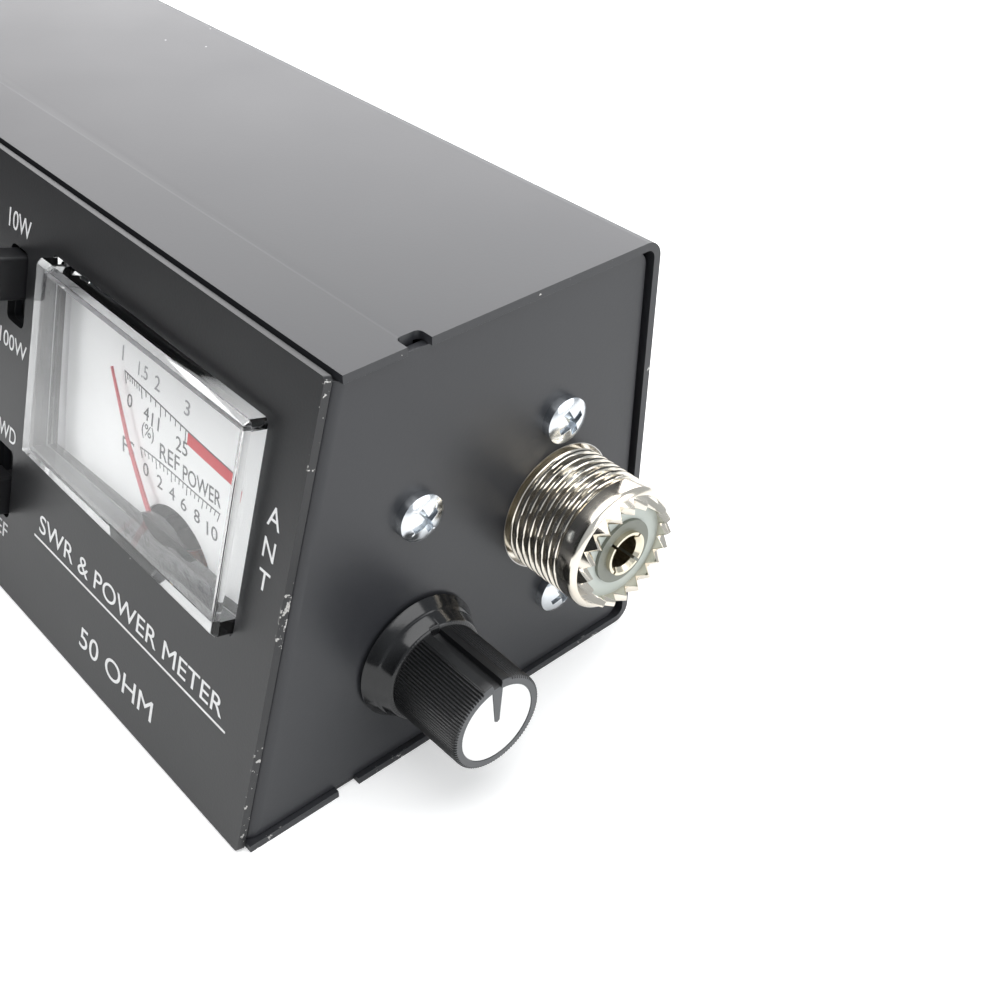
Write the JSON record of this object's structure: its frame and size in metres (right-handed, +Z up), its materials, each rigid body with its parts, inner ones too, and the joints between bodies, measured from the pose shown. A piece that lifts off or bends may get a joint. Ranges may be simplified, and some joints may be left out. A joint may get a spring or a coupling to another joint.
{
  "type": "swr meter",
  "caption": "Desktop SWR and power meter: wedge-fronted folded sheet-metal case with a moving-coil meter, slide switches, a calibration knob and a coaxial socket at each end.",
  "frame": {"origin": "centre of the case's flat underside", "axes": "+Z up, +X towards the antenna socket (the user's right), the sloped front faces -Y"},
  "size_m": [0.1486, 0.0634, 0.0564],
  "materials": {
    "cover_paint": "satin charcoal stove enamel",
    "chassis_paint": "satin charcoal stove enamel",
    "front_print": "fine satin near-black with white print",
    "nickel": "bright nickel plate",
    "socket_insulator": "pale phenolic",
    "contact_silver": "silver-plated brass",
    "zinc_steel": "zinc-plated steel",
    "clear_plastic": "clear polished",
    "meter_pale": "pale moulded",
    "dial_card": "matt white with printed scales",
    "smoke_plastic": "smoky moulded",
    "brass": "turned",
    "magnet": "sintered grey",
    "copper": "enamelled copper",
    "pointer_red": "red lacquer",
    "spring_bronze": "bronze ribbon",
    "switch_black": "dark moulded",
    "cap_black": "satin moulded",
    "switch_steel": "plated sheet",
    "pot_metal": "die cast and plated",
    "knob_plastic": "satin moulded, fluted",
    "knob_white": "matt white",
    "board_laminate": "resin-bonded laminate",
    "resistor_body": "lacquered",
    "diode_body": "small sealed bodies",
    "capacitor_body": "dipped discs",
    "trimmer_body": "moulded"
  },
  "bodies": {
    "case": {"chassis": "chassis_paint", "front_plate": "front_print", "cover": "cover_paint", "antenna_socket_shell": "nickel", "transmitter_socket_shell": "nickel", "antenna_socket_insulator": "socket_insulator", "transmitter_socket_insulator": "socket_insulator", "antenna_socket_contact": "contact_silver", "transmitter_socket_contact": "contact_silver", "socket_screws": "zinc_steel", "socket_nuts": "zinc_steel", "cover_screws": "zinc_steel", "meter_window": "clear_plastic", "meter_housing": "meter_pale", "meter_dial": "dial_card", "meter_shroud": "smoke_plastic", "meter_front_bearing": "brass", "meter_rear_bridge": "brass", "meter_magnet_ring": "magnet", "meter_core": "magnet", "meter_hairspring": "spring_bronze", "meter_studs": "brass", "meter_stud_nuts": "zinc_steel", "switch_screws": "zinc_steel", "pot_body": "pot_metal", "pot_washer": "zinc_steel", "pot_nut": "zinc_steel", "coupler_board": "board_laminate", "main_line": "copper", "pickup_lines": "copper", "resistors": "resistor_body", "diodes": "diode_body", "capacitors": "capacitor_body", "trimmers": "trimmer_body", "range_switch_body": "switch_black", "range_switch_pins": "switch_steel", "direction_switch_body": "switch_black", "direction_switch_pins": "switch_steel", "function_switch_body": "switch_black", "function_switch_pins": "switch_steel"},
    "movement": {"meter_coil": "copper", "meter_pivots": "zinc_steel", "meter_pointer": "pointer_red"},
    "range_lever": {"range_switch_lever": "switch_black", "range_switch_cap": "cap_black"},
    "direction_lever": {"direction_switch_lever": "switch_black", "direction_switch_cap": "cap_black"},
    "function_lever": {"function_switch_lever": "switch_black", "function_switch_cap": "cap_black"},
    "control_knob": {"pot_shaft": "pot_metal", "knob": "knob_plastic", "knob_disc": "knob_white"}
  },
  "joints": [
    {"name": "needle_swing", "type": "hinge", "parent": "case", "child": "movement", "pos_m": [0.03295, -0.02495, 0.01977], "axis": [0, 0.9588, -0.2839], "range_deg": [0, 64], "stiffness_Nm_per_rad": 0.00002, "springref_deg": -20.05},
    {"name": "range_slide", "type": "slide", "parent": "case", "child": "range_lever", "axis": [0, 0.2839, 0.9588], "range_m": [-0.0033, 0]},
    {"name": "direction_slide", "type": "slide", "parent": "case", "child": "direction_lever", "axis": [0, 0.2839, 0.9588], "range_m": [0, 0.0033]},
    {"name": "function_slide", "type": "slide", "parent": "case", "child": "function_lever", "axis": [0, 0.2839, 0.9588], "range_m": [-0.0033, 0]},
    {"name": "knob_turn", "type": "hinge", "parent": "case", "child": "control_knob", "pos_m": [0.061, -0.0047, 0.0149], "axis": [1, 0, 0], "range_deg": [-150, 150]}
  ]
}
